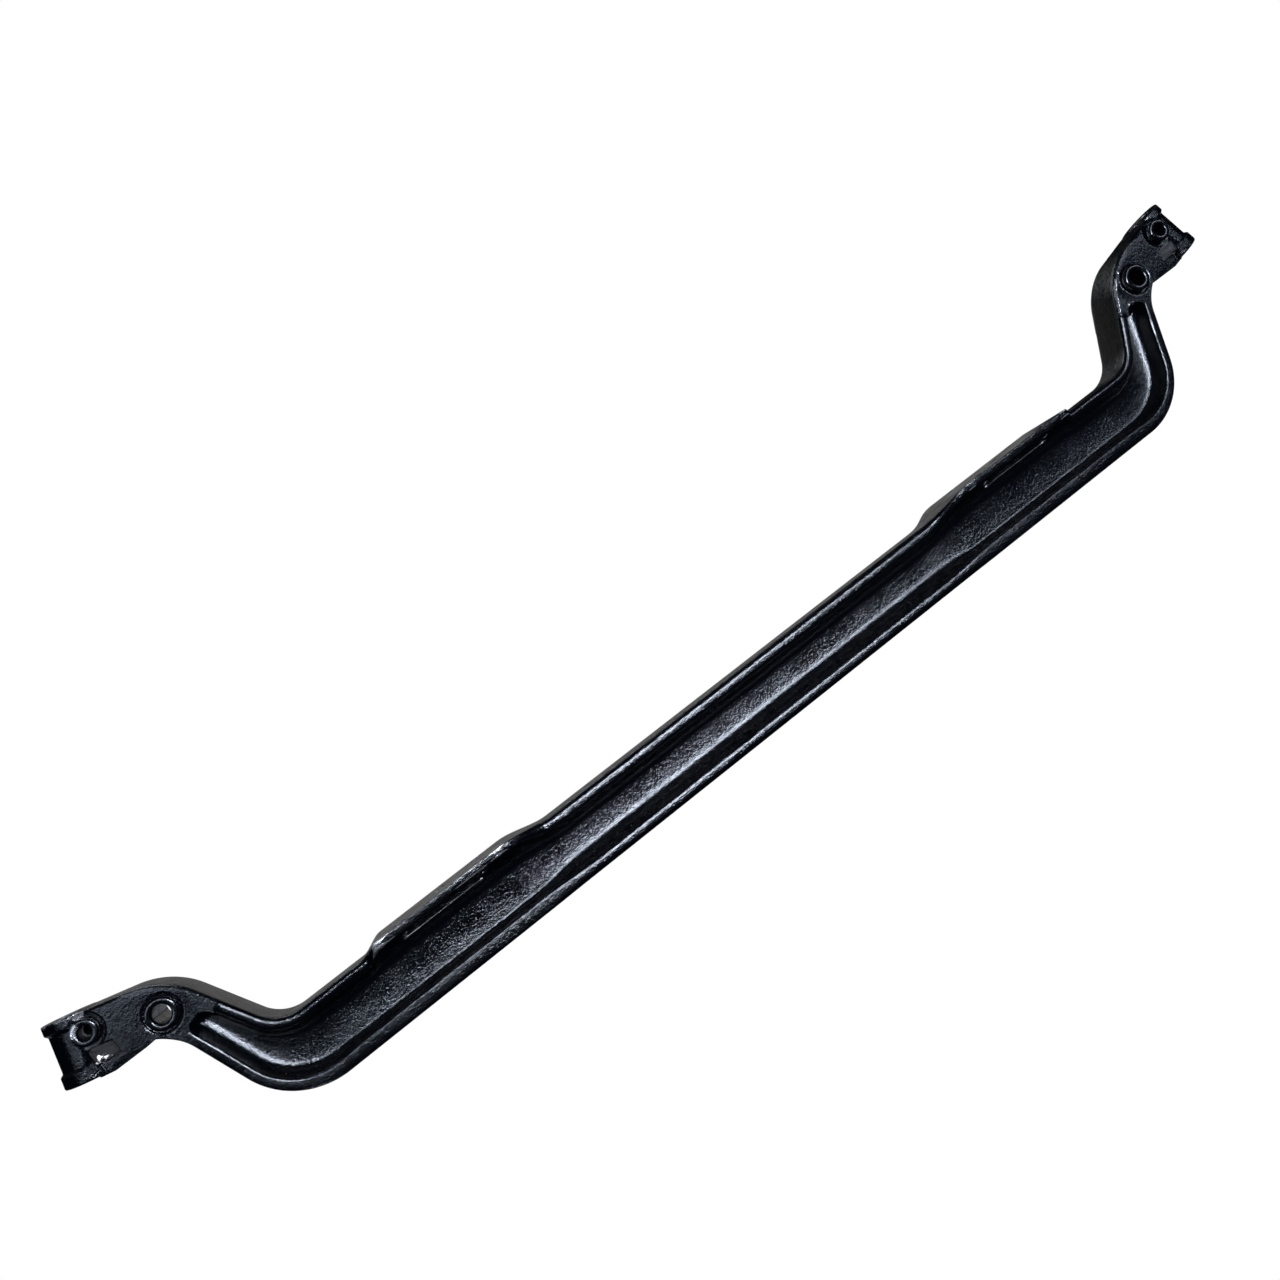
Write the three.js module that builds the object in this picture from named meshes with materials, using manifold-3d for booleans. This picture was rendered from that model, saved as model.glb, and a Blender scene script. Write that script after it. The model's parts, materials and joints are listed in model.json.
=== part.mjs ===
// Drop-centre forged front axle beam: an I-section forging with two spring pads, two rising necks,
// an inclined pin eye at each end, flanged sleeves in the cross bores and steering-stop blocks.
// Millimetres. X runs along the beam, Y front to back, Z up from the underside of the beam.
import * as THREE from 'three';
import { mergeVertices } from 'three/addons/utils/BufferGeometryUtils.js';
import Module from 'manifold-3d';

const wasm = await Module();
wasm.setup();

// section of the forging
const halfDepth = 30;
const webHalf = 7;
const edgeRound = 2;
const flangeTop = 85;
const neckFlangeTop = 86;
const pocketTop = 72;
const pocketFoot = 12;
const pocketFillet = 10;
const arcSteps = 3;
const joinTolerance = 0.01;

// rising neck: corner points of the top and bottom lines with their bend radii
const topBendLow = [646, neckFlangeTop, 45];
const topBendHigh = [711, 202, 89];
const topShoulder = [782, 221, 60];
const footBendLow = [681, 0, 93];
const footBendHigh = [738, 154, 55];
const pocketBendTop = [651, pocketTop + 1, 52];
const pocketTipTop = [694, 151, 14];
const pocketTipFoot = [725.5, 150, 14];
const pocketBendFoot = [672.5, pocketFoot, 80];

// spring pads
const padTop = 94;
const padInner = 350;
const padOuter = 517;
const padHalf = 54;
const padEdge = 87;
const padRoot = 74;
const padRootHalf = 18;
const rampInner = 296;
const rampOuter = 539;
const rampBend = 40;
const padCornerIn = 35;
const padCornerOut = 8;
const padHoleX = 52;
const padHoleY = 41;
const padHoleRadius = 7;
const locatingHoleRadius = 8;
const locatingHoleDepth = 12;

// pin eye
const eyeX = 820.7;
const eyeZ = 194;
const eyeTilt = THREE.MathUtils.degToRad(13.5);
const eyeHalf = 35.2;
const eyeCollarRadius = 29;
const eyeWaistRadius = 26;
const eyeBoreRadius = 15;
const collarTop = 10;
const collarFoot = 13;
const collarSlope = 4;
const eyeChamfer = 1.5;
const plateEndTop = [-8.2, 34];
const plateEndFoot = [6.4, -30];
const plateFoot = [784, 156, 30];

// cross bores and their sleeves
const innerBore = { x: 730.6, z: 170.3, hole: 10.5, body: 13.5, flange: 17.6, recess: 21, reach: 4 };
const outerBore = { x: 800, z: 202.8, hole: 7.6, body: 10, flange: 14.4, recess: 20, reach: 17.5 };
const recessDepth = 3;
const sleeveProud = 6;
const gap = 0.3;

// steering stop seat, block and hollow pin
const stopInner = 783.5;
const stopOuter = 811;
const stopFoot = 158;
const stopHeadInner = 180.5;
const stopHeadOuter = 187;
const stopDepth = 12;
const stopCorner = 5;
const stopThin = 2;
const stopThick = 11;
const pinX = 803.5;
const pinZ = 168;
const pinRadius = 2.6;
const pinBore = 1.5;
const pinSlot = 1;
const pinHeadY = 27;
const pinTailY = 5;
const pinHoleRadius = 2.9;

// lug under each end
const lugHalf = 18;
const lugFoot = 151.5;
const lugInner = 762;
const lugOuter = 818;
const lugRise = 3.5;

const through = 80;

function paint(color, roughness, metalness) {
  return new THREE.MeshStandardMaterial({ color, roughness, metalness });
}

// the same outline as a chain of points with no two closer than the join tolerance
function tidied(shape) {
  const points = shape.getPoints(arcSteps);
  const kept = points.filter((point, i) => point.distanceTo(points[(i + 1) % points.length]) > joinTolerance);
  return new THREE.Shape(kept);
}

// closed outline from corner points [x, y, radius], each corner rounded by its own tangent arc
function roundedShape(corners) {
  const shape = new THREE.Shape();
  corners.forEach((corner, i) => {
    const before = corners[(i + corners.length - 1) % corners.length];
    const after = corners[(i + 1) % corners.length];
    const point = new THREE.Vector2(corner[0], corner[1]);
    const back = new THREE.Vector2(before[0], before[1]).sub(point).normalize();
    const ahead = new THREE.Vector2(after[0], after[1]).sub(point).normalize();
    const half = Math.acos(THREE.MathUtils.clamp(back.dot(ahead), -1, 1)) / 2;
    if (!corner[2] || Math.PI / 2 - half < 0.004) {
      if (i === 0) shape.moveTo(point.x, point.y);
      else shape.lineTo(point.x, point.y);
      return;
    }
    const reach = corner[2] / Math.tan(half);
    const start = point.clone().addScaledVector(back, reach);
    const end = point.clone().addScaledVector(ahead, reach);
    const middle = back.clone().add(ahead).normalize();
    const centre = point.clone().addScaledVector(middle, corner[2] / Math.sin(half));
    const clockwise = back.cross(ahead) > 0;
    if (i === 0) shape.moveTo(start.x, start.y);
    else shape.lineTo(start.x, start.y);
    const from = Math.atan2(start.y - centre.y, start.x - centre.x);
    const to = Math.atan2(end.y - centre.y, end.x - centre.x);
    shape.absarc(centre.x, centre.y, corner[2], from, to, clockwise);
  });
  return tidied(shape);
}

// corners of the right half followed by their mirror images
function mirrored(corners) {
  const left = corners.map(([x, z, r]) => [-x, z, r]).reverse();
  return corners.concat(left);
}

// outline in X and Z extruded along Y between two depths
function slabXZ(shape, yFrom, yTo, bevel = {}) {
  const thick = bevel.bevelThickness ?? 0;
  const geometry = new THREE.ExtrudeGeometry(shape, {
    depth: yTo - yFrom - thick * (bevel.sides ?? 2),
    curveSegments: arcSteps,
    bevelEnabled: thick > 0,
    ...bevel,
  });
  geometry.rotateX(Math.PI / 2);
  geometry.translate(0, yTo - thick, 0);
  return geometry;
}

// outline in X and Y extruded along Z
function slabXY(shape, zFrom, zTo) {
  const geometry = new THREE.ExtrudeGeometry(shape, {
    depth: zTo - zFrom,
    curveSegments: arcSteps,
    bevelEnabled: false,
  });
  geometry.translate(0, 0, zFrom);
  return geometry;
}

// round bar along Y between two depths
function barY(radius, x, z, yFrom, yTo, sides = 32) {
  const geometry = new THREE.CylinderGeometry(radius, radius, yTo - yFrom, sides);
  geometry.translate(x, (yFrom + yTo) / 2, z);
  return geometry;
}

// round bar along Z between two heights
function barZ(radius, x, y, zFrom, zTo, sides = 16) {
  const geometry = new THREE.CylinderGeometry(radius, radius, zTo - zFrom, sides);
  geometry.rotateX(Math.PI / 2);
  geometry.translate(x, y, (zFrom + zTo) / 2);
  return geometry;
}

function solid(geometry) {
  const bare = geometry.index ? geometry.toNonIndexed() : geometry.clone();
  bare.deleteAttribute('normal');
  bare.deleteAttribute('uv');
  const merged = mergeVertices(bare, 1e-4);
  const vertProperties = Float32Array.from(merged.attributes.position.array);
  const corners = merged.index.array;
  const kept = [];
  for (let i = 0; i < corners.length; i += 3) {
    const [a, b, c] = corners.slice(i, i + 3);
    if (a !== b && b !== c && c !== a) kept.push(a, b, c);
  }
  const triVerts = Uint32Array.from(kept);
  return new wasm.Manifold(new wasm.Mesh({ numProp: 3, vertProperties, triVerts }));
}

function geometryOf(body) {
  const mesh = body.getMesh();
  const geometry = new THREE.BufferGeometry();
  geometry.setAttribute('position', new THREE.BufferAttribute(mesh.vertProperties, 3));
  geometry.setIndex(new THREE.BufferAttribute(mesh.triVerts, 1));
  geometry.computeVertexNormals();
  return geometry;
}

// mirror image of a geometry in the plane X = 0 or Y = 0
function flipped(geometry, axis) {
  const copy = geometry.index ? geometry.toNonIndexed() : geometry.clone();
  copy.scale(axis === 'x' ? -1 : 1, axis === 'y' ? -1 : 1, 1);
  const position = copy.attributes.position;
  const a = new THREE.Vector3();
  const b = new THREE.Vector3();
  for (let i = 0; i < position.count; i += 3) {
    a.fromBufferAttribute(position, i);
    b.fromBufferAttribute(position, i + 1);
    position.setXYZ(i, b.x, b.y, b.z);
    position.setXYZ(i + 1, a.x, a.y, a.z);
  }
  copy.computeVertexNormals();
  return copy;
}

function bothEnds(geometry) {
  return solid(geometry).add(solid(flipped(geometry, 'x')));
}

function bothFaces(geometry) {
  return solid(geometry).add(solid(flipped(geometry, 'y')));
}

function fourWays(geometry) {
  return bothEnds(geometry).add(bothEnds(flipped(geometry, 'y')));
}

// side outline: level beam, ramped pads, S-shaped necks, plate that carries the pin eye
function sideOutline() {
  return roundedShape(mirrored([
    [rampInner, flangeTop, rampBend],
    [padInner, padTop, 5],
    [padOuter, padTop, 5],
    [rampOuter, neckFlangeTop, 18],
    topBendLow,
    topBendHigh,
    topShoulder,
    [eyeX + plateEndTop[0], eyeZ + plateEndTop[1], 0],
    [eyeX + plateEndFoot[0], eyeZ + plateEndFoot[1], 0],
    plateFoot,
    footBendHigh,
    footBendLow,
  ]));
}

function pocketOutline() {
  return roundedShape(mirrored([pocketBendTop, pocketTipTop, pocketTipFoot, pocketBendFoot]));
}

// one side's recess in the web: flat floor with a quarter-round fillet up to the flange edges
function pocketCutter() {
  const nose = halfDepth - webHalf;
  const geometry = new THREE.ExtrudeGeometry(pocketOutline(), {
    depth: through - nose,
    curveSegments: arcSteps,
    bevelThickness: nose,
    bevelSize: pocketFillet,
    bevelOffset: -pocketFillet,
    bevelSegments: 3,
  });
  geometry.rotateX(Math.PI / 2);
  geometry.translate(0, -webHalf - nose, 0);
  return bothFaces(geometry).subtract(solid(new THREE.BoxGeometry(4 * eyeX, 2 * webHalf, through * 8)));
}

// wide pad flange: sloped underside, ramped both in height and in plan
function padFlange() {
  const section = roundedShape([
    [-padHalf, -padTop, 2],
    [-padHalf, -padEdge, 2],
    [-padRootHalf, -padRoot, 0],
    [padRootHalf, -padRoot, 0],
    [padHalf, -padEdge, 2],
    [padHalf, -padTop, 2],
  ].map(([y, z, r]) => [-z, y, r]));
  const bar = new THREE.ExtrudeGeometry(section, {
    depth: rampOuter - rampInner,
    curveSegments: 3,
    bevelEnabled: false,
  });
  bar.rotateY(-Math.PI / 2);
  bar.translate(rampOuter, 0, 0);
  const plan = roundedShape([
    [rampInner, -halfDepth + 1, 0],
    [padInner - 6, -padHalf, padCornerIn],
    [padOuter + 1, -padHalf, padCornerOut],
    [rampOuter, -halfDepth + 1, 0],
    [rampOuter, halfDepth - 1, 0],
    [padOuter + 1, padHalf, padCornerOut],
    [padInner - 6, padHalf, padCornerIn],
    [rampInner, halfDepth - 1, 0],
  ]);
  const side = slabXZ(sideOutline(), -padHalf - 1, padHalf + 1);
  return bothEnds(bar).intersect(bothEnds(slabXY(plan, 0, padTop + 1))).intersect(solid(side));
}

function padHoles() {
  const middle = (padInner + padOuter) / 2;
  const left = fourWays(barZ(padHoleRadius, middle - padHoleX, padHoleY, padRoot - 10, padTop + 5));
  const right = fourWays(barZ(padHoleRadius, middle + padHoleX, padHoleY, padRoot - 10, padTop + 5));
  const locating = bothEnds(
    barZ(locatingHoleRadius, middle, 0, padTop - locatingHoleDepth, padTop + 5));
  return left.add(right).add(locating);
}

// tilts geometry built about the Z axis onto the pin axis
function onPinAxis(geometry) {
  geometry.rotateX(Math.PI / 2);
  geometry.rotateY(-eyeTilt);
  geometry.translate(eyeX, 0, eyeZ);
  return geometry;
}

function pinEye() {
  const waistTop = eyeHalf - collarTop;
  const waistFoot = -eyeHalf + collarFoot;
  const profile = [
    [0, -eyeHalf],
    [eyeCollarRadius - eyeChamfer, -eyeHalf],
    [eyeCollarRadius, -eyeHalf + eyeChamfer],
    [eyeCollarRadius, waistFoot],
    [eyeWaistRadius, waistFoot + collarSlope],
    [eyeWaistRadius, waistTop - collarSlope],
    [eyeCollarRadius, waistTop],
    [eyeCollarRadius, eyeHalf - eyeChamfer],
    [eyeCollarRadius - eyeChamfer, eyeHalf],
    [0, eyeHalf],
  ].map(([r, z]) => new THREE.Vector2(r, z));
  return bothEnds(onPinAxis(new THREE.LatheGeometry(profile, 36)));
}

function pinBoreCutter() {
  return bothEnds(onPinAxis(
    new THREE.CylinderGeometry(eyeBoreRadius, eyeBoreRadius, eyeHalf * 3, 32)));
}

// lug on the underside of each end, lower than the drafted edges of the plate
function underLug() {
  const shape = roundedShape([
    [lugInner, lugFoot + 22, 0],
    [lugInner, lugFoot, 4],
    [lugOuter - 16, lugFoot, 6],
    [lugOuter, lugFoot + lugRise, 0],
    [lugOuter, lugFoot + 22, 0],
  ]);
  return bothEnds(slabXZ(shape, -lugHalf, lugHalf));
}

function boreCutter(bore) {
  const faceY = halfDepth - recessDepth;
  const recess = fourWays(barY(bore.recess, bore.x, bore.z, -through, -faceY, 32));
  const body = fourWays(barY(bore.body + gap, bore.x, bore.z, -through, -bore.reach + gap, 24));
  const hole = bothEnds(barY(bore.hole, bore.x, bore.z, -through, through, 24));
  return recess.add(body).add(hole);
}

// seat on the front face: square inboard wall, sloping head, open at the foot
function stopSeat() {
  const shape = roundedShape([
    [stopInner, stopFoot - 30, 0],
    [stopOuter, stopFoot - 30, 0],
    [stopOuter, stopHeadOuter, stopCorner],
    [stopInner, stopHeadInner, 1],
  ]);
  const seat = slabXZ(shape, -halfDepth - 10, -halfDepth + stopDepth);
  const pinHole = barY(pinHoleRadius, pinX, pinZ, -halfDepth, -pinTailY + 1, 16);
  return bothEnds(seat).add(bothEnds(pinHole));
}

function axleBeam() {
  const core = slabXZ(sideOutline(), -halfDepth, halfDepth, {
    bevelThickness: edgeRound,
    bevelSize: edgeRound,
    bevelOffset: -edgeRound,
    bevelSegments: 1,
  });
  const body = solid(core)
    .add(padFlange())
    .subtract(pocketCutter())
    .add(pinEye())
    .add(underLug())
    .subtract(padHoles())
    .subtract(pinBoreCutter())
    .subtract(boreCutter(innerBore))
    .subtract(boreCutter(outerBore))
    .subtract(stopSeat());
  const mesh = new THREE.Mesh(geometryOf(body), paint(0x14161b, 0.35, 0.2));
  mesh.name = 'axle_beam';
  return mesh;
}

// turned sleeve with a proud flange, on a cross bore, pressed in from the front face
function sleeveGeometry(bore) {
  const seatY = halfDepth - recessDepth + gap;
  const faceY = halfDepth + sleeveProud;
  const tail = bore.reach + gap;
  const profile = [
    [bore.hole + 1, faceY],
    [bore.hole, faceY - 1],
    [bore.hole, tail],
    [bore.body, tail],
    [bore.body, seatY],
    [bore.flange, seatY],
    [bore.flange, faceY - 1],
    [bore.flange - 1, faceY],
    [bore.hole + 1, faceY],
  ].map(([r, y]) => new THREE.Vector2(r, y));
  const geometry = new THREE.LatheGeometry(profile, 24);
  geometry.translate(bore.x, 0, bore.z);
  return geometry;
}

function sleeve(name, bore, right, front, material) {
  let geometry = sleeveGeometry(bore);
  if (!right) geometry = flipped(geometry, 'x');
  if (front) geometry = flipped(geometry, 'y');
  const mesh = new THREE.Mesh(geometry, material);
  mesh.name = name;
  return mesh;
}

// wedge-faced block in the stop seat, drilled for its pin
function stopBlock(name, right) {
  const back = -halfDepth + stopDepth - gap;
  const inner = stopInner + gap;
  const outer = stopOuter - gap;
  const wedge = new THREE.Shape();
  wedge.moveTo(inner, back);
  wedge.lineTo(inner, back - stopThin);
  wedge.lineTo(outer, back - stopThick);
  wedge.lineTo(outer, back);
  wedge.closePath();
  const frontView = roundedShape([
    [inner, stopFoot + 6, 1],
    [outer, stopFoot + 10, 1],
    [outer, stopHeadOuter - gap, stopCorner],
    [inner, stopHeadInner - gap, 1],
  ]);
  const body = solid(slabXY(wedge, stopFoot - 10, stopHeadOuter + 10))
    .intersect(solid(slabXZ(frontView, -halfDepth - 10, 0)))
    .subtract(solid(barY(pinHoleRadius, pinX, pinZ, -through, through, 16)));
  const geometry = geometryOf(body);
  const mesh = new THREE.Mesh(right ? geometry : flipped(geometry, 'x'), paint(0x3b3d40, 0.4, 0.6));
  mesh.name = name;
  return mesh;
}

// slotted hollow spring pin that holds the block
function stopPin(name, right) {
  const half = Math.asin(pinSlot / 2 / pinRadius);
  const shape = new THREE.Shape();
  shape.absarc(0, 0, pinRadius, half, 2 * Math.PI - half, false);
  shape.absarc(0, 0, pinBore, 2 * Math.PI - half * 1.8, half * 1.8, true);
  const geometry = new THREE.ExtrudeGeometry(tidied(shape), {
    depth: pinHeadY - pinTailY,
    curveSegments: 6,
    bevelEnabled: false,
  });
  geometry.rotateX(Math.PI / 2);
  geometry.translate(pinX, -pinTailY, pinZ);
  const mesh = new THREE.Mesh(right ? geometry : flipped(geometry, 'x'), paint(0x54565a, 0.35, 0.9));
  mesh.name = name;
  return mesh;
}

const part = new THREE.Group();
part.add(axleBeam());
const sleevePaint = paint(0x1a1d24, 0.32, 0.3);
for (const [side, right] of [['left', false], ['right', true]]) {
  for (const [face, front] of [['front', true], ['rear', false]]) {
    part.add(sleeve(`key_bore_sleeve_${side}_${face}`, outerBore, right, front, sleevePaint));
    part.add(sleeve(`cross_bore_sleeve_${side}_${face}`, innerBore, right, front, sleevePaint));
  }
  part.add(stopBlock(`steering_stop_block_${side}`, right));
  part.add(stopPin(`stop_block_pin_${side}`, right));
}

export default part;
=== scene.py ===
import json
import math

import bmesh
import bpy
import numpy as np
from mathutils import Matrix

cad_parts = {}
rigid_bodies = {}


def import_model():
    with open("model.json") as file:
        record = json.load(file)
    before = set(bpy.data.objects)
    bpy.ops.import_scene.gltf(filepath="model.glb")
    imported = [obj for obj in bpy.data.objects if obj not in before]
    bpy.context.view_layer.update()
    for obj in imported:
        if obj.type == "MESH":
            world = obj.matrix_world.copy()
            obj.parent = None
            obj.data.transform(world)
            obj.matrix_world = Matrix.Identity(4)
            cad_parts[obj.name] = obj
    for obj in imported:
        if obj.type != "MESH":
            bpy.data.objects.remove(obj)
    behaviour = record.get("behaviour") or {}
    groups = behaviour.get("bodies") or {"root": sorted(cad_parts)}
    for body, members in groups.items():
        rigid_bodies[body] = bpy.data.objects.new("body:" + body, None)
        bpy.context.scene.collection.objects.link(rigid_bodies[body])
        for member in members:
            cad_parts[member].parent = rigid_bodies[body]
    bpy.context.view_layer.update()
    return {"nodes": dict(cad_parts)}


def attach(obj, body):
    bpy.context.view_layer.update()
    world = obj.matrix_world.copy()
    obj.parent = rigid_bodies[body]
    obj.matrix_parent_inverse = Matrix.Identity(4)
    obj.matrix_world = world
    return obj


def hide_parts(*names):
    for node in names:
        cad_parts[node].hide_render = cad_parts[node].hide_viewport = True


for leftover in list(bpy.data.objects):  # an empty stage, whatever the start-up file holds
    bpy.data.objects.remove(leftover)
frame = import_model()
print("frame loaded:", len(frame["nodes"]), "nodes")

mm = 0.001  # every size below is in millimetres


def smooth(a, b, x):
    # cubic ease: 0 before a, 1 after b, 3t^2 - 2t^3 between
    t = np.clip((np.asarray(x, float) - a) / (b - a), 0, 1)
    return t * t * (3 - 2 * t)


def makeMesh(name, points, faces):
    # points in millimetres become one object at the origin, in metres
    mesh = bpy.data.meshes.new(name)
    mesh.from_pydata(np.asarray(points, float) * mm, [], [tuple(f) for f in faces])
    mesh.update()
    piece = bpy.data.objects.new(name, mesh)
    bpy.context.scene.collection.objects.link(piece)
    return piece


def gridFaces(rows, columns, closed):
    # quads between neighbouring rows, wrapping round the columns when closed
    i = np.arange(rows - 1)[:, None]
    j = np.arange(columns if closed else columns - 1)[None, :]
    k = (j + 1) % columns
    quads = np.stack([i * columns + j, i * columns + k, (i + 1) * columns + k, (i + 1) * columns + j], -1)
    return quads.reshape(-1, 4)


def roundedRing(corners, steps=6):
    # closed outline: each corner [a, b, radius] becomes a tangent arc, written as a rational quadratic
    c = np.array([k[:2] for k in corners], float)
    r = np.array([k[2] for k in corners], float)
    back = np.roll(c, 1, 0) - c
    ahead = np.roll(c, -1, 0) - c
    lengthBack = np.linalg.norm(back, axis=1, keepdims=True)
    lengthAhead = np.linalg.norm(ahead, axis=1, keepdims=True)
    back, ahead = back / lengthBack, ahead / lengthAhead
    half = np.arccos(np.clip((back * ahead).sum(1), -1, 1)) / 2
    reach = np.minimum(r / np.tan(half), 0.48 * np.minimum(lengthBack, lengthAhead)[:, 0])[:, None]
    start, end = c + back * reach, c + ahead * reach
    t = np.linspace(0, 1, steps)[None, :, None]
    w = np.sin(half)[:, None, None]
    top = (1 - t) ** 2 * start[:, None] + 2 * t * (1 - t) * w * c[:, None] + t ** 2 * end[:, None]
    return (top / ((1 - t) ** 2 + 2 * t * (1 - t) * w + t ** 2)).reshape(-1, 2)


def offsetRing(ring, amount):
    # moves each point of a closed outline outwards along its own normal
    along = np.roll(ring, -1, 0) - np.roll(ring, 1, 0)
    along /= np.linalg.norm(along, axis=1, keepdims=True) + 1e-9
    area = (ring[:, 0] * np.roll(ring[:, 1], -1) - np.roll(ring[:, 0], -1) * ring[:, 1]).sum()
    outward = np.stack([along[:, 1], -along[:, 0]], 1) * np.sign(area)
    return ring + outward * amount


def closedLoft(name, rings):
    # skin over a stack of equal rings with a fan of faces to the middle of each end ring
    rows, columns = len(rings), len(rings[0])
    points = np.concatenate([np.concatenate(rings), [np.mean(rings[0], 0)], [np.mean(rings[-1], 0)]])
    j = np.arange(columns)
    k = (j + 1) % columns
    first, last = rows * columns, rows * columns + 1
    faces = gridFaces(rows, columns, True).tolist()
    faces += np.stack([k, j, np.full(columns, first)], 1).tolist()
    base = (rows - 1) * columns
    faces += np.stack([base + j, base + k, np.full(columns, last)], 1).tolist()
    piece = makeMesh(name, points, faces)
    faceOutwards(piece)
    return piece


def latheY(name, profile, x, z, sides=96, mirrorY=False):
    # closed profile of (radius, depth) turned about a line along Y through (x, z)
    radius, depth = np.array(profile, float).T[:, None, :]
    a = np.linspace(0, 2 * math.pi, sides, endpoint=False)[:, None]
    sign = -1 if mirrorY else 1
    points = np.stack([x + radius * np.cos(a), sign * depth + 0 * a, z + radius * np.sin(a)], -1)
    count = len(profile)
    i = np.arange(sides)[:, None]
    j = np.arange(count)[None, :]
    nextSide, nextPoint = (i + 1) % sides, (j + 1) % count
    faces = np.stack([i * count + j, nextSide * count + j,
                      nextSide * count + nextPoint, i * count + nextPoint], -1)
    piece = makeMesh(name, points.reshape(-1, 3), faces.reshape(-1, 4))
    faceOutwards(piece)
    return piece


def faceOutwards(piece):
    # merges points closer than 0.02 mm, then turns the faces so that they enclose a positive volume
    bm = bmesh.new()
    bm.from_mesh(piece.data)
    bmesh.ops.remove_doubles(bm, verts=bm.verts, dist=0.00002)
    bmesh.ops.dissolve_degenerate(bm, edges=bm.edges, dist=0.00001)
    bmesh.ops.recalc_face_normals(bm, faces=bm.faces)
    if bm.calc_volume(signed=True) < 0:
        bmesh.ops.reverse_faces(bm, faces=bm.faces)
    bm.to_mesh(piece.data)
    bm.free()


def combine(base, tools, operation):
    # joins or cuts with each tool, then keeps only the finished mesh
    for tool in tools:
        step = base.modifiers.new("work", "BOOLEAN")
        step.operation = operation
        step.solver = "MANIFOLD"
        step.object = tool
    graph = bpy.context.evaluated_depsgraph_get()
    graph.update()
    mesh = bpy.data.meshes.new_from_object(base.evaluated_get(graph))
    base.modifiers.clear()
    old = base.data
    base.data = mesh
    bpy.data.meshes.remove(old)
    for tool in tools:
        data = tool.data
        bpy.data.objects.remove(tool)
        bpy.data.meshes.remove(data)


def shadeSmooth(piece, degrees):
    # smooth shading, kept sharp where two faces meet at more than the given angle
    piece.data.shade_smooth()
    piece.data.set_sharp_from_angle(angle=math.radians(degrees))


forging = {
    "halfDepth": 30.0, "webHalf": 7.0,
    "topMid": 85.0, "topNeck": 86.0, "padTop": 94.0,
    "padInner": 350.0, "padOuter": 517.0, "padHalf": 54.0, "padEdge": 7.5,
    "innerRamp": 62.0, "outerRamp": 26.0,
    "topBendLow": (646.0, 86.0, 45.0), "topBendHigh": (711.0, 202.0, 89.0), "topEnd": (812.5, 228.2),
    "footBendLow": (681.0, 0.0, 93.0), "footBendHigh": (738.0, 154.0, 55.0), "footEnd": (829.0, 161.5),
    "pocketTip": (705.0, 130.0, 17.0), "pocketSlope": 62.0, "pocketFillet": 10.0,
    # the pin axis: its x and z at mid height, and its tilt in degrees
    "eye": (820.7, 194.0, 13.5), "eyeHalf": 35.2, "eyeBore": 15.0,
    "collar": 29.0, "waist": 25.6, "collarTop": 10.0, "collarFoot": 13.0, "shoulder": 4.0,
    "dish": 0.5, "waviness": 0.12,
}


def bentLine(start, bends, end, counts):
    # straight, arc, straight, arc, straight, each sampled with its own count, as one list of points
    pts = [np.array(start, float)] + [np.array(b[:2], float) for b in bends] + [np.array(end, float)]
    out = []
    at = pts[0]
    for i, bend in enumerate(bends):
        p = pts[i + 1]
        a = (pts[i] - p) / np.linalg.norm(pts[i] - p)
        b = (pts[i + 2] - p) / np.linalg.norm(pts[i + 2] - p)
        half = math.acos(np.clip(a @ b, -1, 1)) / 2
        s, e = p + a * bend[2] / math.tan(half), p + b * bend[2] / math.tan(half)
        c = p + (a + b) / np.linalg.norm(a + b) * bend[2] / math.sin(half)
        line = np.linspace(0, 1, counts[2 * i], endpoint=False)[:, None]
        out.append(at + (s - at) * line)
        a0 = math.atan2(*(s - c)[::-1])
        a1 = a0 + (math.atan2(*(e - c)[::-1]) - a0 + math.pi) % (2 * math.pi) - math.pi
        t = np.linspace(a0, a1, counts[2 * i + 1], endpoint=False)
        out.append(c + bend[2] * np.stack([np.cos(t), np.sin(t)], 1))
        at = e
    line = np.linspace(0, 1, counts[-1])[:, None]
    out.append(at + (pts[-1] - at) * line)
    return np.concatenate(out)


def stationLines(f):
    # top and bottom lines of the right half, point for point, from the middle out to the pin axis
    levelEnd = 612.0  # where the straight middle gives way to the necks
    spans = [(0, 266, 44), (266, 350, 38), (350, 362, 10), (362, 508, 36), (508, 550, 34), (550, levelEnd, 18)]
    level = np.concatenate([np.linspace(a, b, n, endpoint=False) for a, b, n in spans])
    counts = (2, 44, 28, 32, 32)
    top = bentLine((levelEnd, f["topNeck"]), (f["topBendLow"], f["topBendHigh"]), f["topEnd"], counts)
    foot = bentLine((levelEnd, 0), (f["footBendLow"], f["footBendHigh"]), f["footEnd"], counts)
    topLevel = np.stack([level, topHeight(f, level)], 1)
    footLevel = np.stack([level, 0 * level], 1)
    return np.concatenate([topLevel, top]), np.concatenate([footLevel, foot]), len(level)


def topHeight(f, x):
    # flange height: eased from the middle's to the neck's, then lifted to the pad where the rise is 1
    base = f["topMid"] + (f["topNeck"] - f["topMid"]) * smooth(420, 560, x)
    return base + (f["padTop"] - base) * padRise(f, x)


def padRise(f, x):
    # 1 on the pad's flat, easing to 0 over the long inner ramp and the short outer one
    inner = smooth(f["padInner"] - f["innerRamp"], f["padInner"] + 2, x)
    outer = 1 - smooth(f["padOuter"] + 1, f["padOuter"] + f["outerRamp"], x)
    return np.minimum(inner ** 0.9, outer)


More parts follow.
